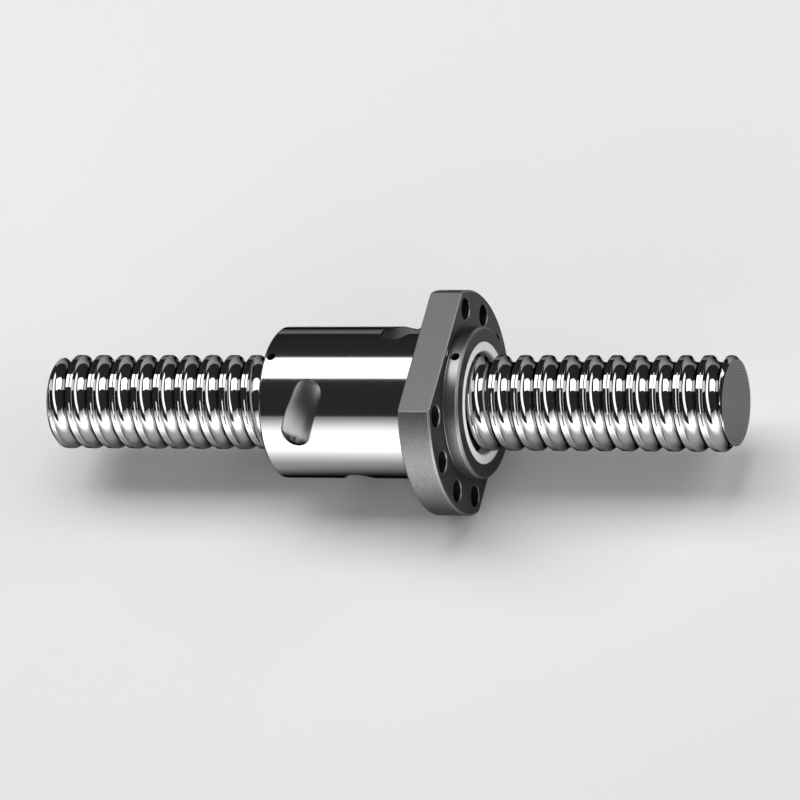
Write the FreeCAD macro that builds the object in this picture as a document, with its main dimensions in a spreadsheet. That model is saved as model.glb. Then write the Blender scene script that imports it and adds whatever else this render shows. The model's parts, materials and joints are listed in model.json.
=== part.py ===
"""Flanged ball nut on its ball screw, in millimetres.

X runs along the screw, the origin lies on the screw's axis at the flange's mounting face,
and the two flats of the flange face up and down.
"""
import FreeCAD, Part
import math
import os
import Sketcher

doc = FreeCAD.newDocument("ball_nut")

# Driving dimensions
SIZES = [
    ("screw_diameter", 39.4),
    ("screw_length", 300),
    ("screw_behind_face", 170),
    ("screw_end_chamfer", 1.5),
    ("lead", 10),
    ("thread_phase", 2.3),
    ("ball_diameter", 7.144),
    ("ball_stand_out", 1),
    ("ball_clearance", 0.2),
    ("balls_per_circuit", 18),
    ("bore_clearance", 1.3),
    ("nut_groove_facets", 12),
    ("body_wall", 7.028),
    ("body_length", 68),
    ("body_end_chamfer", 1),
    ("flange_reach", 15),
    ("flange_thickness", 14),
    ("flange_chamfer", 0.8),
    ("flat_reach", 3.5),
    ("bolt_reach", 7.5),
    ("bolt_hole", 9),
    ("bolt_inner_angle", 15),
    ("bolt_outer_angle", 45),
    ("shoulder_wall", 6.15),
    ("shoulder_length", 6.5),
    ("shoulder_chamfer", 1),
    ("relief_width", 1.2),
    ("relief_depth", 0.6),
    ("oil_port_diameter", 7),
    ("oil_port_depth", 9),
    ("oil_port_countersink", 1),
    ("oil_passage_diameter", 4),
    ("wiper_gap", 1.5),
    ("wiper_wall", 4),
    ("wiper_width", 6),
    ("wiper_recess", 0.4),
    ("wiper_clearance", 0.15),
    ("wiper_chamfer", 0.5),
    ("wiper_groove_width", 4),
    ("wiper_groove_depth", 1.2),
    ("set_screw_diameter", 3.2),
    ("set_screw_clearance", 0.05),
    ("set_screw_length", 3),
    ("set_screw_tip_gap", 0.3),
    ("set_screw_socket", 1.6),
    ("set_screw_socket_depth", 1.4),
    ("insert_width", 13),
    ("insert_end_margin", 2.5),
    ("insert_tilt", 20),
    ("insert_clearance", 0.05),
    ("insert_recess", 0.4),
    ("insert_roof", 1),
    ("insert_first_angle", 135),
    ("insert_angle_step", 90),
    ("crossing_lift", 3.4),
    ("crossing_clearance", 0.4),
]
sheet = doc.addObject("Spreadsheet::Sheet", "sizes")
for row, (alias, value) in enumerate(SIZES, start=1):
    sheet.set(f"A{row}", alias)
    sheet.set(f"B{row}", str(value))
    sheet.setAlias(f"B{row}", alias)
doc.recompute()

# Sizes that follow from the driving ones, as expressions on the sheet
SCREW_R = "sizes.screw_diameter / 2"
SCREW_FRONT = "(sizes.screw_length - sizes.screw_behind_face)"
BALL_R = "sizes.ball_diameter / 2"
BALL_PATH_R = f"({SCREW_R} + sizes.ball_stand_out)"
THREAD_R = f"({BALL_R} + sizes.ball_clearance)"
NUT_BORE_R = f"({SCREW_R} + sizes.bore_clearance)"
BODY_R = f"({BALL_PATH_R} + {THREAD_R} + sizes.body_wall)"
FLANGE_R = f"({BODY_R} + sizes.flange_reach)"
FLAT_Z = f"({BODY_R} + sizes.flat_reach)"
BOLT_R = f"({BODY_R} + sizes.bolt_reach)"
NUT_FRONT = "(sizes.flange_thickness + sizes.shoulder_length)"
WIPER_BORE_R = f"({SCREW_R} + sizes.wiper_gap)"
WIPER_R = f"({WIPER_BORE_R} + sizes.wiper_wall)"
WIPER_GROOVE_R = f"({WIPER_R} - sizes.wiper_groove_depth)"
WIPER_SEAT_R = f"({WIPER_R} + sizes.wiper_clearance)"
WIPER_SEAT_DEPTH = "(sizes.wiper_width + sizes.wiper_recess)"
WIPER_X = {
    "flange_end": f"({NUT_FRONT} - sizes.wiper_recess - sizes.wiper_width / 2)",
    "body_end": "(-sizes.body_length + sizes.wiper_recess + sizes.wiper_width / 2)",
}
SHOULDER_R = f"({WIPER_SEAT_R} + sizes.shoulder_wall)"
CHANNEL_R = f"({BALL_R} + sizes.crossing_clearance)"
INSERT_TOP_R = f"({BODY_R} - sizes.insert_recess)"
TROUGH_R = f"({BALL_PATH_R} + sizes.crossing_lift + {CHANNEL_R} + sizes.insert_roof)"

ALONG_X = FreeCAD.Rotation(FreeCAD.Vector(0, 1, 0), 90)
ON_EDGE = FreeCAD.Rotation(FreeCAD.Vector(1, 0, 0), 90)
UP = FreeCAD.Vector(0, 0, 1)


def value(expression):
    """The present value of an expression on the sheet."""
    return float(sheet.evalExpression(expression))


def size(alias):
    """A driving dimension as a number."""
    return float(sheet.get(alias))


def origin_feature(body, role):
    """One of a body's own origin planes or axes."""
    return next(item for item in body.Origin.OriginFeatures if item.Role == role)


def bind(feature, **expressions):
    """Tie properties of a feature to the sheet."""
    for name, expression in expressions.items():
        feature.setExpression(name, expression)


def place(feature, x="0", y="0", z="0"):
    """Tie the place of a feature to the sheet."""
    for axis, expression in (("x", x), ("y", y), ("z", z)):
        feature.setExpression(f"Placement.Base.{axis}", expression)


def dimension(sketch, name, expression, kind, *geometry):
    """Add a dimension to a sketch and tie it to the sheet."""
    index = sketch.addConstraint(Sketcher.Constraint(kind, *geometry, value(expression)))
    sketch.renameConstraint(index, name)
    sketch.setExpression(f"Constraints.{name}", expression)


def sketch_on(body, name, plane):
    """An empty sketch on one of the body's origin planes."""
    sketch = body.newObject("Sketcher::SketchObject", name)
    sketch.AttachmentSupport = [(origin_feature(body, plane), "")]
    sketch.MapMode = "FlatFace"
    return sketch


def turned(body, kind, name, corners):
    """Turn a closed outline of (x, radius) expressions about the screw's axis."""
    sketch = sketch_on(body, f"{name}_outline", "XZ_Plane")
    points = [FreeCAD.Vector(value(x), value(radius), 0) for x, radius in corners]
    following = [(index + 1) % len(points) for index in range(len(points))]
    for start, after in zip(points, following):
        sketch.addGeometry(Part.LineSegment(start, points[after]))
    for index, (x, radius) in enumerate(corners):
        sketch.addConstraint(Sketcher.Constraint("Coincident", index, 2, following[index], 1))
        dimension(sketch, f"x{index}", x, "DistanceX", index, 1)
        if radius == "0":
            sketch.addConstraint(Sketcher.Constraint("PointOnObject", index, 1, -1))
        else:
            dimension(sketch, f"r{index}", radius, "DistanceY", index, 1)
    feature = body.newObject(kind, name)
    feature.Profile = sketch
    feature.ReferenceAxis = (origin_feature(body, "X_Axis"), [""])
    feature.Angle = 360


def section_circle(sketch, x, radius):
    """A circle about the ball's centre in a groove's section."""
    sketch.addGeometry(Part.Circle(FreeCAD.Vector(value(x), value(BALL_PATH_R), 0), UP, value(radius)))
    dimension(sketch, "groove_x", x, "DistanceX", 0, 3)
    dimension(sketch, "groove_r", BALL_PATH_R, "DistanceY", 0, 3)
    dimension(sketch, "groove_size", radius, "Radius", 0)


def round_section(sketch, x):
    """The screw's groove is round in section."""
    section_circle(sketch, x, THREAD_R)


def faceted_section(sketch, x):
    """The nut's groove has facets about the same circle and a corner at the top, as a pointed arch."""
    facets = int(size("nut_groove_facets"))
    section_circle(sketch, x, f"({THREAD_R} / cos(180 / sizes.nut_groove_facets))")
    circle = sketch.Geometry[0]
    sketch.toggleConstruction(0)
    quarter = math.pi / 2
    corners = [circle.value(quarter + 2 * math.pi * index / facets) for index in range(facets)]
    for index, corner in enumerate(corners):
        sketch.addGeometry(Part.LineSegment(corner, corners[(index + 1) % facets]))
    for line in range(1, facets + 1):
        sketch.addConstraint(Sketcher.Constraint("Coincident", line, 2, line % facets + 1, 1))
        sketch.addConstraint(Sketcher.Constraint("PointOnObject", line, 1, 0))
    for line in range(2, facets + 1):
        sketch.addConstraint(Sketcher.Constraint("Equal", 1, line))
    sketch.addConstraint(Sketcher.Constraint("Vertical", 0, 3, 1, 1))


def ball_thread(body, behind, front, draw_section):
    """Cut the right-hand ball groove from behind the mounting face to its front."""
    turns_behind = f"(ceil({behind} / sizes.lead) + 1)"
    turns_front = f"(ceil({front} / sizes.lead) + 1)"
    sketch = sketch_on(body, "groove_section", "XZ_Plane")
    draw_section(sketch, f"(sizes.thread_phase + sizes.lead / 4 - {turns_behind} * sizes.lead)")
    groove = body.newObject("PartDesign::SubtractiveHelix", "ball_groove")
    groove.Profile = sketch
    groove.ReferenceAxis = (origin_feature(body, "X_Axis"), [""])
    groove.Mode = "pitch-height-angle"
    bind(groove, Pitch="sizes.lead", Height=f"({turns_behind} + {turns_front}) * sizes.lead")


def crossing():
    """The balls' way over the land, as an arc in the plane along a slot.

    Gives the half length at which it joins the groove, the arc's radius and the height of
    its centre over the screw's axis.
    """
    path = value(BALL_PATH_R)
    tilt = math.radians(size("insert_tilt"))
    join = 0
    for _ in range(40):
        turned_by = math.asin(join * math.cos(tilt) / path) / (2 * math.pi)
        join = size("lead") * (0.5 - turned_by) / math.sin(tilt)
    low = math.sqrt(path ** 2 - (join * math.cos(tilt)) ** 2)
    top = path + size("crossing_lift")
    radius = (join ** 2 + (top - low) ** 2) / (2 * (top - low))
    return join, radius, top - radius


JOIN, CROSSING_RADIUS, CROSSING_CENTRE = crossing()
SLOT_LENGTH = f"(2 * {JOIN} + 2 * sizes.insert_end_margin)"

# The slots stand on lands of the thread, from the body's end as far as the flange leaves room
tilt_angle = math.radians(size("insert_tilt"))
slot_half = value(f"({SLOT_LENGTH} - sizes.insert_width) / 2")
slot_reach = slot_half * math.sin(tilt_angle) + size("insert_width") / 2
first_land = size("thread_phase") + size("lead") * (size("insert_first_angle") / 360 - 0.5)
rearmost = value(f"-sizes.body_length + {WIPER_SEAT_DEPTH}") + slot_reach
first_x = first_land + size("lead") * math.ceil((rearmost - first_land) / size("lead"))
step_x = size("lead") * (1 + size("insert_angle_step") / 360)
SLOTS = []
while first_x + step_x * len(SLOTS) < -slot_reach:
    angle = size("insert_first_angle") + size("insert_angle_step") * len(SLOTS)
    SLOTS.append((len(SLOTS) + 1, angle, first_x + step_x * len(SLOTS)))


def slot_frame(angle, x, radius):
    """A frame at a slot: x along the slot, y across it, z outwards."""
    outwards = FreeCAD.Rotation(FreeCAD.Vector(1, 0, 0), angle - 90)
    along = FreeCAD.Rotation(UP, -90 - size("insert_tilt"))
    at = FreeCAD.Vector(x, 0, 0) + outwards.multVec(UP * radius)
    return FreeCAD.Placement(at, outwards.multiply(along))


def stadium(body, name, frame, clearance):
    """A round-ended slot outline, smaller all round by a clearance."""
    sketch = sketch_on(body, name, "XY_Plane")
    sketch.AttachmentOffset = frame
    end_radius = f"(sizes.insert_width / 2 - {clearance})"
    reach = f"({SLOT_LENGTH} - sizes.insert_width)"
    half = value(reach) / 2
    rad = value(end_radius)
    right = Part.Circle(FreeCAD.Vector(half, 0, 0), UP, rad)
    left = Part.Circle(FreeCAD.Vector(-half, 0, 0), UP, rad)
    quarter = math.pi / 2
    sketch.addGeometry(Part.LineSegment(FreeCAD.Vector(-half, -rad, 0), FreeCAD.Vector(half, -rad, 0)))
    sketch.addGeometry(Part.ArcOfCircle(right, -quarter, quarter))
    sketch.addGeometry(Part.LineSegment(FreeCAD.Vector(half, rad, 0), FreeCAD.Vector(-half, rad, 0)))
    sketch.addGeometry(Part.ArcOfCircle(left, quarter, 3 * quarter))
    for first in range(4):
        sketch.addConstraint(Sketcher.Constraint("Tangent", first, 2, (first + 1) % 4, 1))
    sketch.addConstraint(Sketcher.Constraint("Horizontal", 0))
    sketch.addConstraint(Sketcher.Constraint("Symmetric", 1, 3, 3, 3, -1, 1))
    dimension(sketch, "end_radius", end_radius, "Radius", 1)
    dimension(sketch, "reach", reach, "DistanceX", 3, 3, 1, 3)
    return sketch


def ring_cut(body, name, frame, ring_radius, section_radius):
    """Cut with a ring that stands on edge along a slot."""
    ring = body.newObject("PartDesign::SubtractiveTorus", name)
    ring.Placement = FreeCAD.Placement(frame.Base, frame.Rotation.multiply(ON_EDGE))
    bind(ring, Radius1=ring_radius, Radius2=section_radius)


# The nut body, turned from one bar with its flange and shoulder
nut = doc.addObject("PartDesign::Body", "nut_body")
relief_r = f"{SHOULDER_R} - sizes.relief_depth"
relief_x = "sizes.flange_thickness + sizes.relief_width"
front_seat_x = f"{NUT_FRONT} - {WIPER_SEAT_DEPTH}"
rear_seat_x = f"-sizes.body_length + {WIPER_SEAT_DEPTH}"
turned(nut, "PartDesign::Revolution", "turned_form", [
    ("-sizes.body_length", WIPER_SEAT_R),
    ("-sizes.body_length", f"{BODY_R} - sizes.body_end_chamfer"),
    ("-sizes.body_length + sizes.body_end_chamfer", BODY_R),
    ("0", BODY_R),
    ("0", f"{FLANGE_R} - sizes.flange_chamfer"),
    ("sizes.flange_chamfer", FLANGE_R),
    ("sizes.flange_thickness - sizes.flange_chamfer", FLANGE_R),
    ("sizes.flange_thickness", f"{FLANGE_R} - sizes.flange_chamfer"),
    ("sizes.flange_thickness", relief_r),
    (relief_x, relief_r),
    (relief_x, SHOULDER_R),
    (f"{NUT_FRONT} - sizes.shoulder_chamfer", SHOULDER_R),
    (NUT_FRONT, f"{SHOULDER_R} - sizes.shoulder_chamfer"),
    (NUT_FRONT, WIPER_SEAT_R),
    (front_seat_x, WIPER_SEAT_R),
    (front_seat_x, NUT_BORE_R),
    (rear_seat_x, NUT_BORE_R),
    (rear_seat_x, WIPER_SEAT_R),
])

# The flange's two flats
for side, low in (("upper", FLAT_Z), ("lower", f"-{FLANGE_R}")):
    flat = nut.newObject("PartDesign::SubtractiveBox", f"{side}_flat")
    bind(flat, Length="sizes.flange_thickness", Width=f"2 * {FLANGE_R}", Height=f"{FLANGE_R} - {FLAT_Z}")
    place(flat, y=f"-{FLANGE_R}", z=low)

# Eight bolt holes, four about each round end of the flange
for half_turn in (0, 180):
    for which in ("inner", "outer"):
        for side, sign in (("low", "-"), ("high", "+")):
            hole = nut.newObject("PartDesign::SubtractiveCylinder", f"bolt_hole_{which}_{side}_{half_turn}")
            hole.Placement.Rotation = ALONG_X
            bind(hole, Radius="sizes.bolt_hole / 2", Height="sizes.flange_thickness")
            turn = f"({half_turn} {sign} sizes.bolt_{which}_angle)"
            place(hole, y=f"{BOLT_R} * cos({turn})", z=f"{BOLT_R} * sin({turn})")

# The oil port in the lower flat, with its countersink and the passage on to the thread
port = nut.newObject("PartDesign::SubtractiveCylinder", "oil_port")
bind(port, Radius="sizes.oil_port_diameter / 2", Height="sizes.oil_port_depth")
sink = nut.newObject("PartDesign::SubtractiveCone", "oil_port_sink")
bind(sink, Radius1="sizes.oil_port_diameter / 2 + sizes.oil_port_countersink",
     Radius2="sizes.oil_port_diameter / 2", Height="sizes.oil_port_countersink")
passage = nut.newObject("PartDesign::SubtractiveCylinder", "oil_passage")
bind(passage, Radius="sizes.oil_passage_diameter / 2", Height=f"{FLAT_Z} - {SCREW_R}")
for step in (port, sink, passage):
    place(step, x="sizes.flange_thickness / 2", z=f"-{FLAT_Z}")

# Radial holes for the set screws that hold the wipers
for end, x in WIPER_X.items():
    tapped = nut.newObject("PartDesign::SubtractiveCylinder", f"set_screw_hole_{end}")
    bind(tapped, Radius="sizes.set_screw_diameter / 2 + sizes.set_screw_clearance",
         Height=f"max({BODY_R}; {SHOULDER_R}) - {WIPER_BORE_R}")
    place(tapped, x=x, z=WIPER_BORE_R)

# The slots for the return inserts, then the ball thread that runs into them
for number, angle, x in SLOTS:
    slot = nut.newObject("PartDesign::Pocket", f"return_slot_{number}")
    slot.Profile = stadium(nut, f"slot_outline_{number}", slot_frame(angle, x, value(BODY_R)), "0")
    bind(slot, Length=BODY_R)
ball_thread(nut, "sizes.body_length", NUT_FRONT, faceted_section)

# The screw, a bar with the same thread
screw = doc.addObject("PartDesign::Body", "screw_shaft")
turned(screw, "PartDesign::Revolution", "bar", [
    ("-sizes.screw_behind_face", "0"),
    ("-sizes.screw_behind_face", f"{SCREW_R} - sizes.screw_end_chamfer"),
    ("-sizes.screw_behind_face + sizes.screw_end_chamfer", SCREW_R),
    (f"{SCREW_FRONT} - sizes.screw_end_chamfer", SCREW_R),
    (SCREW_FRONT, f"{SCREW_R} - sizes.screw_end_chamfer"),
    (SCREW_FRONT, "0"),
])
ball_thread(screw, "sizes.screw_behind_face", SCREW_FRONT, round_section)
sub_parts = [nut, screw]

# The return inserts, each a round-ended plug with a hollowed top and the crossing below
trough_depth = f"({INSERT_TOP_R} - {TROUGH_R})"
trough_section = f"(((sizes.insert_width / 2) ^ 2 + {trough_depth} ^ 2) / (2 * {trough_depth}))"
for number, angle, x in SLOTS:
    insert = doc.addObject("PartDesign::Body", f"return_insert_{number}")
    plug = insert.newObject("PartDesign::Pad", "plug")
    plug.Profile = stadium(insert, "plug_outline", slot_frame(angle, x, 0), "sizes.insert_clearance")
    bind(plug, Length=BODY_R)
    turned(insert, "PartDesign::Groove", "top_trim", [
        (f"{x} - {SLOT_LENGTH}", INSERT_TOP_R),
        (f"{x} + {SLOT_LENGTH}", INSERT_TOP_R),
        (f"{x} + {SLOT_LENGTH}", f"2 * {BODY_R}"),
        (f"{x} - {SLOT_LENGTH}", f"2 * {BODY_R}"),
    ])
    bore = insert.newObject("PartDesign::SubtractiveCylinder", "bore")
    bore.Placement.Rotation = ALONG_X
    bind(bore, Radius=NUT_BORE_R, Height=f"2 * {SLOT_LENGTH}")
    place(bore, x=f"{x} - {SLOT_LENGTH}")
    ring_cut(insert, "trough", slot_frame(angle, x, 0), f"{TROUGH_R} + {trough_section}", trough_section)
    ring_cut(insert, "crossing", slot_frame(angle, x, CROSSING_CENTRE), str(CROSSING_RADIUS), CHANNEL_R)
    sub_parts.append(insert)

# The balls of each circuit, once round the groove and back over the land
path = value(BALL_PATH_R)
climb = size("lead") / (2 * math.pi)
first_turn = math.asin(JOIN * math.cos(tilt_angle) / path)
sweep = 2 * math.pi - 2 * first_turn
round_length = sweep * math.hypot(path, climb)
half_swing = math.asin(JOIN / CROSSING_RADIUS)
crossing_top = round_length + half_swing * CROSSING_RADIUS
whole_length = round_length + 2 * half_swing * CROSSING_RADIUS
ball_count = int(size("balls_per_circuit"))
for number, angle, x in SLOTS:
    balls = []
    for index in range(ball_count):
        along = (crossing_top + whole_length * index / ball_count) % whole_length
        if along < round_length:
            turn = first_turn + sweep * along / round_length
            around = FreeCAD.Rotation(FreeCAD.Vector(1, 0, 0), angle - 90 + math.degrees(turn))
            at = FreeCAD.Vector(x - size("lead") / 2 + climb * turn, 0, 0) + around.multVec(UP * path)
        else:
            swing = (along - round_length) / CROSSING_RADIUS - half_swing
            reach = FreeCAD.Vector(math.sin(swing), 0, math.cos(swing)) * CROSSING_RADIUS
            at = slot_frame(angle, x, CROSSING_CENTRE).multVec(reach)
        balls.append(Part.makeSphere(value(BALL_R), at))
    circuit = doc.addObject("Part::Feature", f"ball_circuit_{number}")
    circuit.Shape = Part.makeCompound(balls)
    sub_parts.append(circuit)

# The two wiper rings, with a groove round the outside for the set screw's tip
for end, x in WIPER_X.items():
    wiper = doc.addObject("PartDesign::Body", f"wiper_{end}")
    left = f"{x} - sizes.wiper_width / 2"
    right = f"{x} + sizes.wiper_width / 2"
    groove_left = f"{x} - sizes.wiper_groove_width / 2"
    groove_right = f"{x} + sizes.wiper_groove_width / 2"
    turned(wiper, "PartDesign::Revolution", "ring", [
        (left, f"{WIPER_BORE_R} + sizes.wiper_chamfer"),
        (left, WIPER_R),
        (groove_left, WIPER_R),
        (groove_left, WIPER_GROOVE_R),
        (groove_right, WIPER_GROOVE_R),
        (groove_right, WIPER_R),
        (right, WIPER_R),
        (right, f"{WIPER_BORE_R} + sizes.wiper_chamfer"),
        (f"{right} - sizes.wiper_chamfer", WIPER_BORE_R),
        (f"{left} + sizes.wiper_chamfer", WIPER_BORE_R),
    ])
    sub_parts.append(wiper)

# The set screws, each with a hexagon socket, their tips in the wipers' grooves
for end, x in WIPER_X.items():
    set_screw = doc.addObject("PartDesign::Body", f"set_screw_{end}")
    stem = set_screw.newObject("PartDesign::AdditiveCylinder", "stem")
    bind(stem, Radius="sizes.set_screw_diameter / 2", Height="sizes.set_screw_length")
    socket = set_screw.newObject("PartDesign::SubtractivePrism", "socket")
    socket.Polygon = 6
    bind(socket, Circumradius="sizes.set_screw_socket / 2 / cos(30)", Height="sizes.set_screw_socket_depth")
    place(socket, z="sizes.set_screw_length - sizes.set_screw_socket_depth")
    place(set_screw, x=x, z=f"{WIPER_GROOVE_R} + sizes.set_screw_tip_gap")
    sub_parts.append(set_screw)

doc.recompute()
for item in doc.Objects:
    if "Invalid" in item.State or "Error" in item.State:
        raise RuntimeError(f"{item.Name} did not build: {item.State}")
for part in sub_parts:
    part.Label = part.Name
    if part.Shape.isNull() or not part.Shape.isValid():
        raise RuntimeError(f"{part.Label} has no valid shape")

os.makedirs("parts", exist_ok=True)
for part in sub_parts:
    part.Shape.exportStep(f"parts/{part.Label}.step")
    print(part.Label, len(part.Shape.Solids), round(part.Shape.Volume, 2))
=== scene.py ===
import json
import math

import bmesh
import bpy
from mathutils import Matrix, Quaternion, Vector


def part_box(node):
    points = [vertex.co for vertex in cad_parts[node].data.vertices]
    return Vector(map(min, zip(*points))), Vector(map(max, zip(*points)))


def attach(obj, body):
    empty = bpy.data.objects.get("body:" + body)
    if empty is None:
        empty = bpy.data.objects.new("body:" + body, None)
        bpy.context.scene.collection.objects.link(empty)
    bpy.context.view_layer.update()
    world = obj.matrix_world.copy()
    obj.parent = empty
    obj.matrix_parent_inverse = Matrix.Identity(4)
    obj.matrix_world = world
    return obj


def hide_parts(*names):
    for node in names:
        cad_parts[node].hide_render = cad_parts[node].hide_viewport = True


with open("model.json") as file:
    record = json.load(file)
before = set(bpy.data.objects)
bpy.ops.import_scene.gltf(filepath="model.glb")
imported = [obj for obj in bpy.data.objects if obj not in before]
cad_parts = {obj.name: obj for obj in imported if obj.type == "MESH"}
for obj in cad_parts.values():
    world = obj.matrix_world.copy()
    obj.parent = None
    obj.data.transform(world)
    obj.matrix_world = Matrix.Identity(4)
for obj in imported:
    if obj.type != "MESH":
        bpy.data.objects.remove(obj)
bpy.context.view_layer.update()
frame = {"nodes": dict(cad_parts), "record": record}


# Nut body: one turned and hardened steel piece with a flange, two flats and a short shoulder.
# The body is ground bright, the shoulder and the flange's edges are fine turned, and the flange keeps
# the dark grey of heat treatment. The shoulder's end face is turned too, but painted that dark grey as
# shade. Holes, four return slots and the ball thread are cut into it.
MM = 0.001
mounts = {mount["name"]: mount for mount in frame["record"]["mounts"]}
nut_low, nut_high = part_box("nut_body")
body_end_x = nut_low.x
front_x = nut_high.x
flange_radius = nut_high.y
flat_height = nut_high.z
body_radius = mounts["body_spigot"]["dims"]["r_mm"] * MM
flange_thickness = 14 * MM
flange_chamfer = 0.8 * MM
flat_chamfer = 0.4 * MM
flat_end_break = 0.6 * MM
body_chamfer = 1 * MM
shoulder_chamfer = 1 * MM
shoulder_radius = 31.5 * MM
relief_width = 1.2 * MM
relief_depth = 0.6 * MM
wipers = ("wiper_flange_end", "wiper_body_end")
wiper_clearance = 0.15 * MM
seat_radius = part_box(wipers[0])[1].y + wiper_clearance
seat_depth = 6.4 * MM
bore_radius = 21 * MM
edge_break = 0.2 * MM
turned_segments = 240
merge_distance = 0.0001 * MM


def rounded_outline(corners, radius, steps=2, most=0.4):
    """Break each corner of a closed outline with a small arc, as a deburring tool does.

    No arc takes up more than the given share of a side.
    """
    points = []
    for index, corner in enumerate(corners):
        here = Vector(corner)
        before = Vector(corners[index - 1]) - here
        after = Vector(corners[(index + 1) % len(corners)]) - here
        back = min(radius, before.length * most, after.length * most)
        start = here + before.normalized() * back
        end = here + after.normalized() * back
        for step in range(steps + 1):
            share = step / steps
            points.append(start.lerp(here, share).lerp(here.lerp(end, share), share))
    return points


def turned_mesh(outline, segments):
    """Turn a closed outline of (x, radius) points about the screw's axis."""
    mesh = bmesh.new()
    angles = [2 * math.pi * step / segments for step in range(segments)]
    rings = []
    for x, radius in outline:
        points = [(x, radius * math.cos(angle), radius * math.sin(angle)) for angle in angles]
        rings.append([mesh.verts.new(point) for point in points])
    for ring, after in zip(rings, rings[1:] + rings[:1]):
        for step in range(segments):
            following = (step + 1) % segments
            mesh.faces.new((ring[step], ring[following], after[following], after[step]))
    bmesh.ops.recalc_face_normals(mesh, faces=mesh.faces)
    return mesh


def slice_off(mesh, faces, at, outwards):
    """Cut some faces of a mesh along a plane, drop what lies outside it and close the gap."""
    edges = {edge for face in faces for edge in face.edges}
    verts = {vert for face in faces for vert in face.verts}
    sliced = bmesh.ops.bisect_plane(mesh, geom=[*verts, *edges, *faces], plane_co=at, plane_no=outwards,
                                    clear_outer=True, dist=merge_distance)
    border = [item for item in sliced["geom_cut"] if isinstance(item, bmesh.types.BMEdge)]
    bmesh.ops.contextual_create(mesh, geom=border)


def new_piece(name, mesh):
    """A scene object that takes over a bmesh."""
    data = bpy.data.meshes.new(name)
    mesh.to_mesh(data)
    mesh.free()
    piece = bpy.data.objects.new(name, data)
    bpy.context.scene.collection.objects.link(piece)
    return piece


def cut(piece, tool):
    """Cut a tool's shape out of a piece and put the tool away."""
    step = piece.modifiers.new("cut", "BOOLEAN")
    step.operation = "DIFFERENCE"
    step.solver = "EXACT"
    step.object = tool
    shown = bpy.context.evaluated_depsgraph_get()
    made = bpy.data.meshes.new_from_object(piece.evaluated_get(shown))
    piece.modifiers.clear()
    old = piece.data
    piece.data = made
    bpy.data.meshes.remove(old)
    bpy.data.objects.remove(tool)


def join_rings(mesh, rings):
    """Close a chain of rings into a tool with flat ends."""
    for ring, after in zip(rings, rings[1:]):
        for index in range(len(ring)):
            following = (index + 1) % len(ring)
            mesh.faces.new((ring[index], ring[following], after[following], after[index]))
    mesh.faces.new(rings[0])
    mesh.faces.new(rings[-1])


def add_drill(mesh, outline, at, direction, segments=40):
    """Add a drill's shape, an outline of (depth, radius) points, at a point and along a direction."""
    turn = Vector((1, 0, 0)).rotation_difference(Vector(direction)).to_matrix().to_4x4()
    place = Matrix.Translation(at) @ turn
    angles = [2 * math.pi * step / segments for step in range(segments)]
    rings = []
    for depth, radius in outline:
        points = [Vector((depth, radius * math.cos(angle), radius * math.sin(angle))) for angle in angles]
        rings.append([mesh.verts.new(place @ point) for point in points])
    join_rings(mesh, rings)


nut_outline = [
    (body_end_x, seat_radius),
    (body_end_x, body_radius - body_chamfer),
    (body_end_x + body_chamfer, body_radius),
    (0, body_radius),
    (0, flange_radius - flange_chamfer),
    (flange_chamfer, flange_radius),
    (flange_thickness - flange_chamfer, flange_radius),
    (flange_thickness, flange_radius - flange_chamfer),
    (flange_thickness, shoulder_radius - relief_depth),
    (flange_thickness + relief_width, shoulder_radius - relief_depth),
    (flange_thickness + relief_width, shoulder_radius),
    (front_x - shoulder_chamfer, shoulder_radius),
    (front_x, shoulder_radius - shoulder_chamfer),
    (front_x, seat_radius),
    (front_x - seat_depth, seat_radius),
    (front_x - seat_depth, bore_radius),
    (body_end_x + seat_depth, bore_radius),
    (body_end_x + seat_depth, seat_radius),
]
nut_form = turned_mesh(rounded_outline(nut_outline, edge_break), turned_segments)
edge_height = flat_height - flat_chamfer
corner_half_angle = math.acos(flat_height / flange_radius) / 2
break_depth = flat_end_break * math.tan(corner_half_angle) / 2
for side in (1, -1):
    slice_off(nut_form, nut_form.faces[:], (0, 0, side * flat_height), (0, 0, side))
    for x, facing in ((0, -1), (flange_thickness, 1)):
        edge_faces = [face for face in nut_form.faces
                      if any(vert.co.z * side > edge_height for vert in face.verts)]
        slice_off(nut_form, edge_faces, (x, 0, side * edge_height), (facing, 0, side))
    for end in (1, -1):
        outwards = Vector((0, end * math.sin(corner_half_angle), side * math.cos(corner_half_angle)))
        corner = Vector((0, end * flange_radius * math.sin(2 * corner_half_angle), side * flat_height))
        at = corner - outwards * break_depth
        edge_faces = [face for face in nut_form.faces
                      if any((vert.co - at).dot(outwards) > 0 for vert in face.verts)]
        slice_off(nut_form, edge_faces, at, outwards)
bmesh.ops.recalc_face_normals(nut_form, faces=nut_form.faces)
nut = new_piece("nut_body_finished", nut_form)

bolt_radius = mounts["bolts_inner"]["dims"]["hole_r_mm"] * MM
bolt_chamfer = 0.35 * MM
overrun = 2 * MM
bolt_drill = [
    (-overrun, bolt_radius + bolt_chamfer + overrun),
    (bolt_chamfer, bolt_radius),
    (flange_thickness - bolt_chamfer, bolt_radius),
    (flange_thickness + overrun, bolt_radius + bolt_chamfer + overrun),
]
drills = bmesh.new()
holes = []
for pattern in ("bolts_inner", "bolts_outer"):
    across = mounts[pattern]["dims"]["spacing_x_mm"] * MM / 2
    upright = mounts[pattern]["dims"]["spacing_y_mm"] * MM / 2
    for y in (across, -across):
        for z in (upright, -upright):
            add_drill(drills, bolt_drill, (0, y, z), (1, 0, 0))
            holes.append((Vector((0, y, z)), Vector((1, 0, 0)), bolt_radius))

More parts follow.
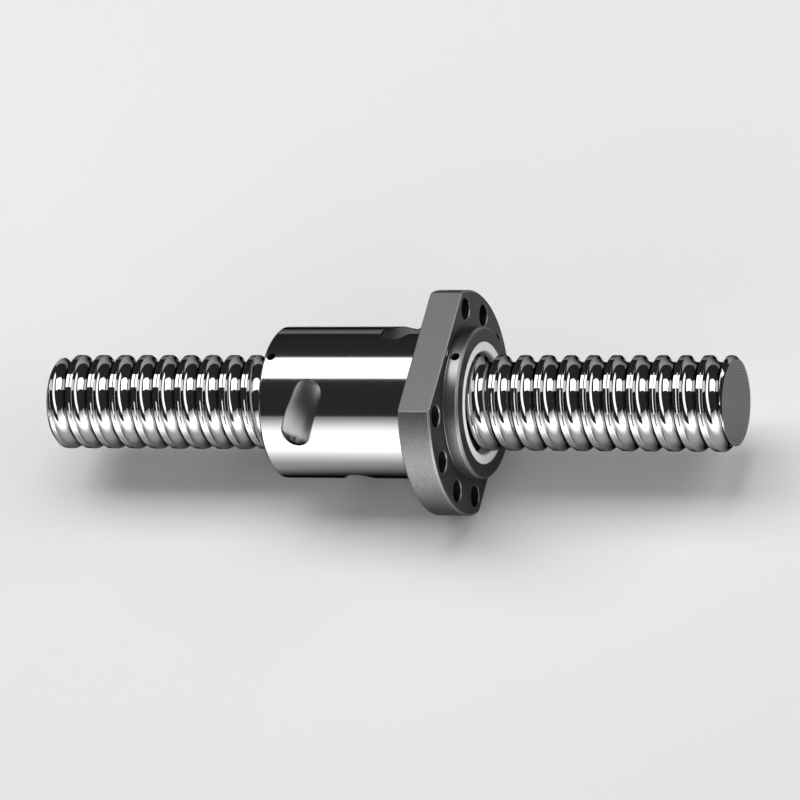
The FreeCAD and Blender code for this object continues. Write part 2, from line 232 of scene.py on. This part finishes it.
port_x = mounts["oil_port"]["pos_m"][0]
port_radius = mounts["oil_port"]["dims"]["r_mm"] * MM
port_depth = 9 * MM
port_countersink = 1 * MM
passage_radius = 2 * MM
port_drill = [
    (-overrun, port_radius + port_countersink + overrun),
    (port_countersink, port_radius),
    (port_depth, port_radius),
    (port_depth, passage_radius),
    (flat_height - bore_radius + overrun, passage_radius),
]
add_drill(drills, port_drill, (port_x, 0, -flat_height), (0, 0, 1))
holes.append((Vector((port_x, 0, -flat_height)), Vector((0, 0, 1)), port_radius))

set_screw_hole_radius = 1.65 * MM
set_screw_countersink = 0.3 * MM
set_screw_drill = [
    (-overrun, set_screw_hole_radius + set_screw_countersink + overrun),
    (set_screw_countersink, set_screw_hole_radius),
    (body_radius - bore_radius, set_screw_hole_radius),
]
for node in wipers:
    low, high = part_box(node)
    mouth = Vector(((low.x + high.x) / 2, 0, body_radius))
    add_drill(drills, set_screw_drill, mouth, (0, 0, -1))
    holes.append((mouth, Vector((0, 0, -1)), set_screw_hole_radius + set_screw_countersink))
bmesh.ops.recalc_face_normals(drills, faces=drills.faces)
cut(nut, new_piece("drills", drills))

lead = 10 * MM
thread_phase = 2.3 * MM
ball_path_radius = 20.7 * MM
nut_groove_radius = 3.772 * MM
nut_groove_points = 20
thread_steps = 72
thread_runout = 2 * MM
thread_from = body_end_x + thread_runout
thread_to = front_x - thread_runout


def helix_angle(x):
    """The angle about the screw's axis at which the groove's middle passes a place along the screw."""
    return 2 * math.pi * (x - thread_phase) / lead


thread_tap = bmesh.new()
tap_rings = []
tap_steps = round((helix_angle(thread_to) - helix_angle(thread_from)) / (2 * math.pi) * thread_steps)
for step in range(tap_steps + 1):
    x = thread_from + (thread_to - thread_from) * step / tap_steps
    outwards = Vector((0, math.cos(helix_angle(x)), math.sin(helix_angle(x))))
    ring = []
    for index in range(nut_groove_points):
        angle = 2 * math.pi * index / nut_groove_points
        middle = Vector((x + nut_groove_radius * math.sin(angle), 0, 0))
        height = ball_path_radius + nut_groove_radius * math.cos(angle)
        ring.append(thread_tap.verts.new(middle + outwards * height))
    tap_rings.append(ring)
join_rings(thread_tap, tap_rings)
bmesh.ops.recalc_face_normals(thread_tap, faces=thread_tap.faces)
cut(nut, new_piece("thread_tap", thread_tap))

inserts = sorted(name for name in frame["nodes"] if name.startswith("return_insert_"))
slot_tilt = math.radians(20)
slot_width = 13 * MM
insert_clearance = 0.05 * MM
slot_first_angle = math.radians(135)
slot_angle_step = math.radians(90)
slot_arc_steps = 24
slot_floor_radius = 18 * MM


def slot_length():
    """The slot's length, read back from how far an insert reaches along the screw."""
    low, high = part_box(inserts[0])
    reach = high.x - low.x + 2 * insert_clearance - slot_width
    return slot_width + reach / math.sin(slot_tilt)


def slot_place(number):
    """A slot's frame on the axis: x along the slot, y across it and z outwards."""
    low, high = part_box(inserts[number])
    outwards = Quaternion((1, 0, 0), slot_first_angle + slot_angle_step * number - math.pi / 2)
    along = Quaternion((0, 0, 1), -math.pi / 2 - slot_tilt)
    return Matrix.Translation(((low.x + high.x) / 2, 0, 0)) @ (outwards @ along).to_matrix().to_4x4()


def slot_outline(length, width):
    """A round-ended outline of that length and width."""
    half_reach = (length - width) / 2
    points = []
    for end in (1, -1):
        for step in range(slot_arc_steps + 1):
            angle = math.pi * (step / slot_arc_steps - 0.5)
            along = half_reach + width / 2 * math.cos(angle)
            across = width / 2 * math.sin(angle)
            points.append((end * along, end * across))
    return points


slots = bmesh.new()
for number in range(len(inserts)):
    place = slot_place(number)
    outline = slot_outline(slot_length(), slot_width)
    floor = [slots.verts.new(place @ Vector((x, y, slot_floor_radius))) for x, y in outline]
    mouth = [slots.verts.new(place @ Vector((x, y, body_radius + overrun))) for x, y in outline]
    join_rings(slots, [floor, mouth])
bmesh.ops.recalc_face_normals(slots, faces=slots.faces)
cut(nut, new_piece("slot_mill", slots))


def smooth_normals(mesh, sharp_from):
    """Shade a mesh smooth up to an angle, and give its corners' normals as a list to work on."""
    mesh.polygons.foreach_set("use_smooth", [True] * len(mesh.polygons))
    mesh.set_sharp_from_angle(angle=sharp_from)
    return [Vector(corner.vector) for corner in mesh.corner_normals]


def set_turned_normals(piece, sharp_from=math.radians(20), tolerance=0.06):
    """Give every face that was turned about the screw's axis the normals of its true round form."""
    mesh = piece.data
    normals = smooth_normals(mesh, sharp_from)
    for face in mesh.polygons:
        along = Vector((face.normal.x, 0, 0))
        radials = {}
        for corner in face.loop_indices:
            at = mesh.vertices[mesh.loops[corner].vertex_index].co
            radials[corner] = Vector((0, at.y, at.z)).normalized()
        if any(face.normal.cross(radial).x ** 2 > tolerance ** 2 for radial in radials.values()):
            continue
        rise = face.normal.dot(Vector((0, face.center.y, face.center.z)).normalized())
        for corner, radial in radials.items():
            normals[corner] = along + radial * rise
    mesh.normals_split_custom_set([normal.normalized() for normal in normals])


set_turned_normals(nut)


def new_material(name):
    """A node material with its main shader."""
    material = bpy.data.materials.new(name)
    material.use_nodes = True
    return material, material.node_tree, material.node_tree.nodes["Principled BSDF"]


def add_node(tree, kind, **inputs):
    """Add a node and set its inputs, or its properties where it has no such input."""
    node = tree.nodes.new(kind)
    for name, value in inputs.items():
        label = name.replace("_", " ").title()
        if label in node.inputs:
            node.inputs[label].default_value = value
        else:
            setattr(node, name, value)
    return node


def surface_noise(tree, scale, detail, by_axis=(1, 1, 1)):
    """Noise in the piece's own metres, with its scale changed by a factor along each axis."""
    where = add_node(tree, "ShaderNodeTexCoord")
    mapping = add_node(tree, "ShaderNodeMapping", scale=by_axis)
    noise = add_node(tree, "ShaderNodeTexNoise", scale=scale, detail=detail)
    tree.links.new(where.outputs["Object"], mapping.inputs["Vector"])
    tree.links.new(mapping.outputs["Vector"], noise.inputs["Vector"])
    return noise.outputs["Fac"]


def spread(tree, source, low, high, to_low, to_high):
    """Map a part of a value's range to another range."""
    node = add_node(tree, "ShaderNodeMapRange", from_min=low, from_max=high, to_min=to_low, to_max=to_high)
    tree.links.new(source, node.inputs["Value"])
    return node.outputs["Result"]


def tinted(tree, factor, dark, light, coolness=1.02):
    """A slightly cool grey between two shades of the same surface."""
    node = add_node(tree, "ShaderNodeMix", data_type="RGBA")
    tree.links.new(factor, node.inputs["Factor"])
    for socket in node.inputs:
        if socket.type == "RGBA":
            shade = dark if socket.identifier.startswith("A") else light
            socket.default_value = (shade, shade, shade * coolness, 1)
    return next(output for output in node.outputs if output.type == "RGBA")


def shaded(tree, shader, source, dark, light):
    """Let a value change the surface's colour between two greys."""
    tree.links.new(tinted(tree, source, dark, light), shader.inputs["Base Color"])


def roughened(tree, shader, source, least, most, low=0.3, high=0.7):
    """Let a value change the surface's roughness, over the part of its range that noise fills."""
    tree.links.new(spread(tree, source, low, high, least, most), shader.inputs["Roughness"])


def bumped(tree, shader, height, distance):
    """Let a height value raise the shader's surface by a distance in metres."""
    bump = add_node(tree, "ShaderNodeBump", distance=distance)
    tree.links.new(height, bump.inputs["Height"])
    tree.links.new(bump.outputs["Normal"], shader.inputs["Normal"])


def bare_steel(shader, edge_shade):
    """Bare metal, with the shade that its reflections take at its edges."""
    shader.inputs["Metallic"].default_value = 1
    shader.inputs["Specular Tint"].default_value = (edge_shade, edge_shade, edge_shade, 1)


def ground_steel():
    """Ground and polished, with fine lines round the body."""
    material, tree, shader = new_material("ground_steel")
    lines = surface_noise(tree, scale=9000, detail=3, by_axis=(1, 0.012, 0.012))
    clouds = surface_noise(tree, scale=60, detail=4)
    shaded(tree, shader, clouds, dark=0.40, light=0.44)
    roughened(tree, shader, lines, least=0.07, most=0.12)
    bare_steel(shader, edge_shade=0.03)
    bumped(tree, shader, lines, 0.0003 * MM)
    return material


def flange_steel():
    """Dark from heat treatment, with a fine even grain; painted shade on the shoulder's end face."""
    material, tree, shader = new_material("flange_steel")
    grain = surface_noise(tree, scale=2200, detail=3)
    clouds = surface_noise(tree, scale=90, detail=4)
    speckle = spread(tree, grain, low=0.3, high=0.7, to_low=0, to_high=1)
    shaded(tree, shader, speckle, dark=0.10, light=0.18)
    roughened(tree, shader, clouds, least=0.42, most=0.48)
    bare_steel(shader, edge_shade=0.25)
    bumped(tree, shader, grain, 0.012 * MM)
    return material


def shoulder_steel():
    """Fine turned, with faint tool lines round it."""
    material, tree, shader = new_material("shoulder_steel")
    lines = surface_noise(tree, scale=5200, detail=3, by_axis=(1, 0.03, 0.03))
    shaded(tree, shader, lines, dark=0.22, light=0.28)
    roughened(tree, shader, lines, least=0.32, most=0.40)
    bare_steel(shader, edge_shade=0.3)
    bumped(tree, shader, lines, 0.001 * MM)
    return material


def drilled_painted_shade():
    """Left rough by the drill, and painted near black as the shade inside the holes."""
    material, tree, shader = new_material("drilled_painted_shade")
    streaks = surface_noise(tree, scale=1600, detail=3)
    shaded(tree, shader, streaks, dark=0.03, light=0.06)
    roughened(tree, shader, streaks, least=0.45, most=0.55)
    bare_steel(shader, edge_shade=0.2)
    return material


def is_drilled(face, end_on=0.8):
    """Whether a face is the wall of a drilled hole, and doesn't look along it."""
    for mouth, direction, radius in holes:
        aside = face.center - mouth
        aside -= direction * aside.dot(direction)
        if aside.length < radius and abs(face.normal.dot(direction)) < end_on:
            return True
    return False


def is_flange_edge(face, square=0.97):
    """Whether a face of the flange is a chamfer or a broken edge, square to none of its main faces."""
    radial = Vector((0, face.center.y, face.center.z)).normalized()
    squareness = max(abs(face.normal.x), abs(face.normal.z), abs(face.normal.dot(radial)))
    return squareness < square


def nut_finish(face, end_on=0.9):
    """The finish of a face of the nut, by where it stands."""
    radius = math.hypot(face.center.y, face.center.z)
    inside = radius < body_radius - relief_depth - edge_break and face.center.x < front_x - edge_break
    # Hole walls take the near-black painted shade.
    if is_drilled(face):
        return "drilled"
    if inside or face.center.x <= -edge_break:
        return "ground"
    if face.center.x > flange_thickness + edge_break:
        # The shoulder's turned end face takes the flange's dark steel as painted shade.
        return "dark" if face.normal.x > end_on else "turned"
    return "turned" if is_flange_edge(face) else "dark"


nut_finishes = {
    "ground": ground_steel(),
    # dark: the flange's heat-treated grey, and painted shade on the shoulder's end face.
    "dark": flange_steel(),
    "turned": shoulder_steel(),
    "drilled": drilled_painted_shade(),
}
nut.data.materials.clear()
for material in nut_finishes.values():
    nut.data.materials.append(material)
for face in nut.data.polygons:
    face.material_index = list(nut_finishes).index(nut_finish(face))
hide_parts("nut_body")
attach(nut, "nut")


# Return inserts: four hardened plugs, each pressed into its slot and a little below the body's skin.
# Their tops are hollowed along the slot and blasted satin. The channel under each one lifts the balls
# over a land of the thread, back to the turn that they came from.
insert_recess = 0.4 * MM
insert_roof = 1 * MM
insert_end_margin = 2.5 * MM
insert_floor_radius = 14 * MM
insert_top_radius = body_radius - insert_recess
channel_radius = 3.972 * MM
crossing_lift = 3.4 * MM
hollow_radius = ball_path_radius + crossing_lift + channel_radius + insert_roof
hollow_depth = insert_top_radius - hollow_radius
hollow_section = ((slot_width / 2) ** 2 + hollow_depth ** 2) / (2 * hollow_depth)
hollow_bend = hollow_radius + hollow_section
hollow_swing = math.radians(40)
hollow_steps = 100
hollow_points = 180
crossing_swing = math.radians(100)
crossing_steps = 120
crossing_points = 48


def bent_tube(place, height, bend, radius, swing, steps, points):
    """A tool for a round channel that bends along a slot, about a centre at a height over the axis."""
    mesh = bmesh.new()
    rings = []
    for step in range(steps + 1):
        turn = swing * (2 * step / steps - 1)
        ring = []
        for index in range(points):
            angle = 2 * math.pi * index / points
            reach = bend + radius * math.cos(angle)
            across = radius * math.sin(angle)
            point = Vector((reach * math.sin(turn), across, height + reach * math.cos(turn)))
            ring.append(mesh.verts.new(place @ point))
        rings.append(ring)
    join_rings(mesh, rings)
    bmesh.ops.recalc_face_normals(mesh, faces=mesh.faces)
    return new_piece("channel_mill", mesh)


def crossing_arc():
    """The arc of the balls' way over the land: its radius, and its centre's height over the axis."""
    join = slot_length() / 2 - insert_end_margin
    low = math.sqrt(ball_path_radius ** 2 - (join * math.cos(slot_tilt)) ** 2)
    top = ball_path_radius + crossing_lift
    bend = (join ** 2 + (top - low) ** 2) / (2 * (top - low))
    return bend, top - bend


def first_insert():
    """The insert nearest to the body's end, cut from a round-ended plug."""
    place = slot_place(0)
    outline = slot_outline(slot_length() - 2 * insert_clearance, slot_width - 2 * insert_clearance)
    plug = bmesh.new()
    floor = [plug.verts.new(place @ Vector((x, y, insert_floor_radius))) for x, y in outline]
    mouth = [plug.verts.new(place @ Vector((x, y, body_radius))) for x, y in outline]
    join_rings(plug, [floor, mouth])
    bmesh.ops.recalc_face_normals(plug, faces=plug.faces)
    piece = new_piece(inserts[0] + "_finished", plug)
    low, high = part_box(inserts[0])
    start = low.x - overrun
    end = high.x + overrun
    outside = 2 * body_radius
    rim = [(start, insert_top_radius), (end, insert_top_radius), (end, outside), (start, outside)]
    cut(piece, new_piece("rim_grinder", turned_mesh(rim, turned_segments)))
    reamer = bmesh.new()
    bore = [(0, bore_radius), (end - start, bore_radius)]
    add_drill(reamer, bore, (start, 0, 0), (1, 0, 0), turned_segments)
    bmesh.ops.recalc_face_normals(reamer, faces=reamer.faces)
    cut(piece, new_piece("reamer", reamer))
    cut(piece, bent_tube(place, 0, hollow_bend, hollow_section, hollow_swing, hollow_steps, hollow_points))
    bend, height = crossing_arc()
    channel = bent_tube(place, height, bend, channel_radius, crossing_swing, crossing_steps, crossing_points)
    cut(piece, channel)
    return piece


def set_hollow_normals(piece, sharp_from=math.radians(30), tolerance=0.01 * MM):
    """Give the hollowed top of the first insert the normals of its true round form."""
    mesh = piece.data
    place = slot_place(0)
    to_slot = place.inverted()
    normals = smooth_normals(mesh, sharp_from)
    for face in mesh.polygons:
        inwards = {}
        for corner in face.loop_indices:
            at = to_slot @ mesh.vertices[mesh.loops[corner].vertex_index].co
            inwards[corner] = Vector((at.x, 0, at.z)).normalized() * hollow_bend - at
        if all(abs(way.length - hollow_section) < tolerance for way in inwards.values()):
            for corner, way in inwards.items():
                normals[corner] = place.to_3x3() @ way.normalized()
    mesh.normals_split_custom_set(normals)


def insert_steel():
    """Satin, from fine blasting."""
    material, tree, shader = new_material("insert_steel")
    grain = surface_noise(tree, scale=3400, detail=4)
    shaded(tree, shader, grain, dark=0.16, light=0.20)
    roughened(tree, shader, grain, least=0.32, most=0.38)
    bare_steel(shader, edge_shade=0.5)
    bumped(tree, shader, grain, 0.002 * MM)
    return material


first_piece = first_insert()
set_hollow_normals(first_piece)
first_piece.data.materials.clear()
first_piece.data.materials.append(insert_steel())
for number, name in enumerate(inserts):
    piece = first_piece
    if number > 0:
        piece = bpy.data.objects.new(name + "_finished", first_piece.data.copy())
        piece.data.transform(slot_place(number) @ slot_place(0).inverted())
        bpy.context.scene.collection.objects.link(piece)
    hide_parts(name)
    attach(piece, "nut")


# Balls: polished bearing balls in each of the four circuits, between the screw and the nut.
# They stand inside the nut and show only if it is taken off.
def ball_steel():
    """Mirror polished bearing steel."""
    material, tree, shader = new_material("ball_steel")
    film = surface_noise(tree, scale=700, detail=2)
    shaded(tree, shader, film, dark=0.58, light=0.64)
    roughened(tree, shader, film, least=0.04, most=0.08)
    bare_steel(shader, edge_shade=0.6)
    return material


def dress(name, material):
    """Give a piece of the frame its finish."""
    piece = frame["nodes"][name]
    piece.data.materials.clear()
    piece.data.materials.append(material)


ball_finish = ball_steel()
for name in sorted(frame["nodes"]):
    if name.startswith("ball_circuit_"):
        dress(name, ball_finish)


# Wipers: two moulded rings of white plastic that sit in the nut's ends.
# They keep dirt out of the thread, and a set screw holds each from the side.
def wiper_plastic():
    """Moulded white plastic with a faint matt grain."""
    material, tree, shader = new_material("wiper_plastic")
    grain = surface_noise(tree, scale=1800, detail=3)
    shaded(tree, shader, grain, dark=0.87, light=0.92)
    roughened(tree, shader, grain, least=0.40, most=0.50)
    bumped(tree, shader, grain, 0.004 * MM)
    return material


wiper_finish = wiper_plastic()
for name in wipers:
    dress(name, wiper_finish)


# Set screws: two small blackened screws, deep in the radial holes over the wipers.
# Each has a socket in its head and presses its tip into the wiper's groove.
def set_screw_steel():
    """Blackened steel."""
    material, tree, shader = new_material("set_screw_steel")
    grain = surface_noise(tree, scale=4000, detail=3)
    shaded(tree, shader, grain, dark=0.03, light=0.06)
    roughened(tree, shader, grain, least=0.40, most=0.52)
    shader.inputs["Metallic"].default_value = 0.8
    return material


set_screw_finish = set_screw_steel()
for name in ("set_screw_flange_end", "set_screw_body_end"):
    dress(name, set_screw_finish)


# Screw: a bar of hardened steel with a rolled and polished right-hand ball thread and faced ends.
# The groove is a pointed arch of two arcs, and rolling leaves a fine seam along the land.
screw_low, screw_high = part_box("screw_shaft")
screw_radius = screw_high.y
screw_chamfer = 1.5 * MM
groove_half_width = 3.64 * MM
groove_depth = 2.77 * MM
arch_offset = 0.2 * MM
land_edge_radius = 0.3 * MM
seam_offset = 0.25 * MM
seam_place = lead / 2 + seam_offset
seam_half_width = 0.26 * MM
seam_slope = 0.62
groove_points = 8
edge_points = 4
facing_pitch = 1.2 * MM


def thread_outline():
    """One pitch of the thread, from groove middle to groove middle.

    Each point is (place along the screw, radius, slope before it, slope after it).
    """
    root = screw_radius - groove_depth
    centre_radius = (groove_half_width ** 2 + 2 * groove_half_width * arch_offset
                     + screw_radius ** 2 - root ** 2) / (2 * groove_depth)
    arc = math.hypot(arch_offset, centre_radius - root)
    edge_height = centre_radius - screw_radius + land_edge_radius
    edge_tilt = math.acos(edge_height / (arc + land_edge_radius))
    edge_middle = (arc + land_edge_radius) * math.sin(edge_tilt) - arch_offset
    first_tilt = math.asin(arch_offset / arc)
    points = []
    for step in range(groove_points + 1):
        tilt = first_tilt + (edge_tilt - first_tilt) * step / groove_points
        along = arc * math.sin(tilt) - arch_offset
        radius = centre_radius - arc * math.cos(tilt)
        points.append((along, radius, math.tan(tilt)))
    for step in range(1, edge_points + 1):
        tilt = edge_tilt * (1 - step / edge_points)
        along = edge_middle - land_edge_radius * math.sin(tilt)
        radius = screw_radius - land_edge_radius * (1 - math.cos(tilt))
        points.append((along, radius, math.tan(tilt)))
    rising = [(along, radius, slope, slope) for along, radius, slope in points]
    falling = [(lead - along, radius, -slope, -slope) for along, radius, slope in reversed(points[1:])]
    rising[0] = (0, root, -math.tan(first_tilt), math.tan(first_tilt))
    seam = [
        (seam_place - seam_half_width, screw_radius, 0, -seam_slope),
        (seam_place, screw_radius - seam_half_width * seam_slope, -seam_slope, seam_slope),
        (seam_place + seam_half_width, screw_radius, seam_slope, 0),
    ]
    return rising + seam + falling


pitch_points = thread_outline()
first_turn = math.floor((screw_low.x - thread_phase) / lead) - 1
last_turn = math.ceil((screw_high.x - thread_phase) / lead) + 1
thread = bmesh.new()
rows = []
for step in range((last_turn - first_turn) * thread_steps + 1):
    angle = 2 * math.pi * step / thread_steps
    shift = thread_phase + lead * (first_turn + step / thread_steps)
    rows.append([thread.verts.new((shift + along, radius * math.cos(angle), radius * math.sin(angle)))
                 for along, radius, before, after in pitch_points])
for step, row in enumerate(rows[:-1]):
    after = rows[step + 1]
    for index in range(len(pitch_points) - 1):
        thread.faces.new((row[index], after[index], after[index + 1], row[index + 1]))
    if step + thread_steps + 1 < len(rows):
        beside = rows[step + thread_steps]
        beside_after = rows[step + thread_steps + 1]
        thread.faces.new((row[-1], after[-1], beside_after[0], beside[0]))
for x, side in ((screw_low.x, -1), (screw_high.x, 1)):
    sliced = bmesh.ops.bisect_plane(
        thread, geom=thread.verts[:] + thread.edges[:] + thread.faces[:],
        plane_co=(x, 0, 0), plane_no=(side, 0, 0), clear_outer=True, dist=merge_distance)
    border = [item for item in sliced["geom_cut"] if isinstance(item, bmesh.types.BMEdge)]
    bmesh.ops.edgenet_fill(thread, edges=border)
for vertex in thread.verts:
    room = min(vertex.co.x - screw_low.x, screw_high.x - vertex.co.x)
    limit = screw_radius - max(0, screw_chamfer - room)
    radius = math.hypot(vertex.co.y, vertex.co.z)
    if radius > limit:
        vertex.co.y *= limit / radius
        vertex.co.z *= limit / radius
bmesh.ops.recalc_face_normals(thread, faces=thread.faces)
screw = new_piece("screw_thread", thread)


def place_in_pitch(point):
    """How far along the screw a point stands from the middle of the groove before it."""
    turn = math.atan2(point.z, point.y) / (2 * math.pi)
    return (point.x - thread_phase - lead * turn) % lead


def set_thread_normals(piece, sharp_from=math.radians(40)):
    """Give the thread the normals of its true arcs, and leave the chamfered ends as they are."""
    mesh = piece.data
    normals = smooth_normals(mesh, sharp_from)
    closed = pitch_points + [(lead, *pitch_points[0][1:])]
    for face in mesh.polygons:
        room = min(face.center.x - screw_low.x, screw_high.x - face.center.x)
        if room < screw_chamfer + groove_depth:
            continue
        middle = place_in_pitch(face.center)
        index = max(number for number, point in enumerate(pitch_points) if point[0] <= middle)
        start, _, _, slope_after_start = closed[index]
        end, _, slope_before_end, _ = closed[index + 1]
        for corner in face.loop_indices:
            at = mesh.vertices[mesh.loops[corner].vertex_index].co
            apart = (place_in_pitch(at) - start + lead / 2) % lead - lead / 2
            share = min(max(apart / (end - start), 0), 1)
            tilt = math.atan(slope_after_start) * (1 - share) + math.atan(slope_before_end) * share
            slope = math.tan(tilt)
            outwards = Vector((0, at.y, at.z))
            radius = outwards.length
            onwards = Vector((0, -at.z, at.y)) / radius
            climb = slope * lead / (2 * math.pi * radius)
            normal = Vector((-slope, 0, 0)) + outwards / radius + onwards * climb
            normals[corner] = normal.normalized()
    mesh.normals_split_custom_set(normals)


set_thread_normals(screw)


def screw_steel():
    """Rolled and polished, with a faint change of gloss along the thread and a few dark pin marks."""
    material, tree, shader = new_material("screw_steel")
    lines = surface_noise(tree, scale=4200, detail=3, by_axis=(1, 0.05, 0.05))
    marks = surface_noise(tree, scale=900, detail=2)
    pits = spread(tree, marks, low=0.22, high=0.26, to_low=0, to_high=1)
    shaded(tree, shader, pits, dark=0.20, light=0.42)
    roughened(tree, shader, lines, least=0.04, most=0.08)
    bare_steel(shader, edge_shade=0.03)
    return material


def facing_rings(tree, pitch):
    """Rings about the screw's axis, as a facing tool leaves them.

    At a scale of 1 the wave node goes through 20 radians in each metre.
    """
    node_radians = 20
    ring_scale = 2 * math.pi / (node_radians * pitch)
    where = add_node(tree, "ShaderNodeTexCoord")
    rings = add_node(tree, "ShaderNodeTexWave", wave_type="RINGS", rings_direction="X",
                     scale=ring_scale, distortion=1.5, detail=2)
    tree.links.new(where.outputs["Object"], rings.inputs["Vector"])
    return rings.outputs["Fac"]


def faced_steel():
    """Faced on the lathe, with fine rings about the axis."""
    material, tree, shader = new_material("faced_steel")
    rings = facing_rings(tree, facing_pitch)
    shaded(tree, shader, rings, dark=0.22, light=0.36)
    roughened(tree, shader, rings, least=0.26, most=0.38, low=0, high=1)
    bare_steel(shader, edge_shade=0.3)
    bumped(tree, shader, rings, 0.005 * MM)
    return material


def is_screw_end(face, end_on=0.99):
    """Whether a face of the screw is one of its flat ends."""
    return abs(face.normal.x) > end_on


screw.data.materials.append(screw_steel())
screw.data.materials.append(faced_steel())
for face in screw.data.polygons:
    face.material_index = int(is_screw_end(face))
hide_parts("screw_shaft")
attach(screw, "screw")


# Studio: a plain pale floor under the flange's lower flat, a long softbox above and behind the screw,
# a low one in front that fades towards its top, one on the right for the shoulder and its wiper,
# and a light panel that lies on the floor in front and fades towards the nut. Places are in metres.
floor_half = 4


def floor_paint():
    """Plain pale paint."""
    material, tree, shader = new_material("floor_paint")
    clouds = surface_noise(tree, scale=3, detail=2)
    shaded(tree, shader, clouds, dark=0.78, light=0.80)
    shader.inputs["Roughness"].default_value = 0.9
    shader.inputs["Specular IOR Level"].default_value = 0.1
    return material


floor_mesh = bmesh.new()
bmesh.ops.create_grid(floor_mesh, x_segments=1, y_segments=1, size=floor_half,
                      matrix=Matrix.Translation((0, 0, nut_low.z)))
floor_piece = new_piece("floor", floor_mesh)
floor_piece.data.materials.append(floor_paint())


def softbox(name, at, facing, length, height, radiance):
    """A rectangular soft light at a place, facing a direction, with its length level."""
    light = bpy.data.lights.new(name, "AREA")
    light.shape = "RECTANGLE"
    light.size = length
    light.size_y = height
    light.energy = radiance * math.pi * length * height
    lamp = bpy.data.objects.new(name, light)
    bpy.context.scene.collection.objects.link(lamp)
    lamp.location = at
    lamp.rotation_euler = Vector(facing).to_track_quat("-Z", "Y").to_euler()
    lamp.visible_camera = False
    return light


def fade(light, axis, start, end, stops):
    """Let a light change along an axis: each stop is (share of the way, share of the strength)."""
    light.use_nodes = True
    tree = light.node_tree
    where = add_node(tree, "ShaderNodeNewGeometry")
    parts = add_node(tree, "ShaderNodeSeparateXYZ")
    ramp = add_node(tree, "ShaderNodeValToRGB")
    tree.links.new(where.outputs["Position"], parts.inputs["Vector"])
    tree.links.new(spread(tree, parts.outputs[axis], start, end, 0, 1), ramp.inputs["Fac"])
    tree.links.new(ramp.outputs["Color"], tree.nodes["Emission"].inputs["Strength"])
    elements = ramp.color_ramp.elements
    while len(elements) < len(stops):
        elements.new(1)
    for element, (share, strength) in zip(elements, stops):
        element.position = share
        element.color = (strength, strength, strength, 1)


light_distance = 1.2
back_angle = math.radians(73.2)
back_light_x = -0.45
back_length = 1.9
back_width = 0.75
back_radiance = 3.6
back_way = Vector((0, math.cos(back_angle), math.sin(back_angle)))
back_at = back_way * light_distance + Vector((back_light_x, 0, 0))
softbox("back_softbox", back_at, -back_way, back_length, back_width, back_radiance)

front_light_x = -0.38
front_length = 2.2
front_bottom = -0.03
front_top = 0.75
front_radiance = 4.8
front_height = front_top - front_bottom
front_at = (front_light_x, -light_distance, (front_bottom + front_top) / 2)
front_light = softbox("front_softbox", front_at, (0, 1, 0), front_length, front_height, front_radiance)
front_stops = [(0, 0.25), (0.09, 0.7), (0.14, 0.58), (0.36, 0.45), (0.58, 0.3), (0.83, 0.14), (1, 0.08)]
fade(front_light, "Z", front_bottom, front_top, front_stops)

panel_near = -0.058
panel_full = -0.16
panel_far = -light_distance
panel_thickness = 1 * MM
panel_radiance = 3.0
panel_width = panel_near - panel_far
panel_at = (front_light_x, (panel_near + panel_far) / 2, nut_low.z + panel_thickness)
panel_light = softbox("floor_panel", panel_at, (0, 0, 1), front_length, panel_width, panel_radiance)
fade(panel_light, "Y", panel_near, panel_full, [(0, 0), (1, 1)])

side_height = 1
side_length = 3.2
side_width = 0.8
side_radiance = 2.5
side_at = (light_distance, 0, side_height)
softbox("side_softbox", side_at, (-1, 0, 0), side_length, side_width, side_radiance)

room_shade = 0.045
world = bpy.data.worlds.new("studio")
bpy.context.scene.world = world
world.use_nodes = True
world.node_tree.nodes["Background"].inputs["Color"].default_value = (room_shade, room_shade, room_shade, 1)

view_target = Vector((-0.01733, 0.00085, 0.00064))
view_distance = 2.8507
view_azimuth = math.radians(34.09)
view_elevation = math.radians(47.96)
view_roll = math.radians(-26.52)
view_lens = 310.17
view_reach = 20
away = Vector((math.sin(view_azimuth) * math.cos(view_elevation),
               -math.cos(view_azimuth) * math.cos(view_elevation), math.sin(view_elevation)))
camera = bpy.data.objects.new("camera", bpy.data.cameras.new("camera"))
bpy.context.scene.collection.objects.link(camera)
camera.data.lens = view_lens
camera.data.clip_end = view_reach
camera.location = view_target + away * view_distance
camera.rotation_euler = ((-away).to_track_quat("-Z", "Y") @ Quaternion((0, 0, 1), view_roll)).to_euler()
bpy.context.scene.camera = camera
bpy.context.scene.view_settings.view_transform = "Standard"
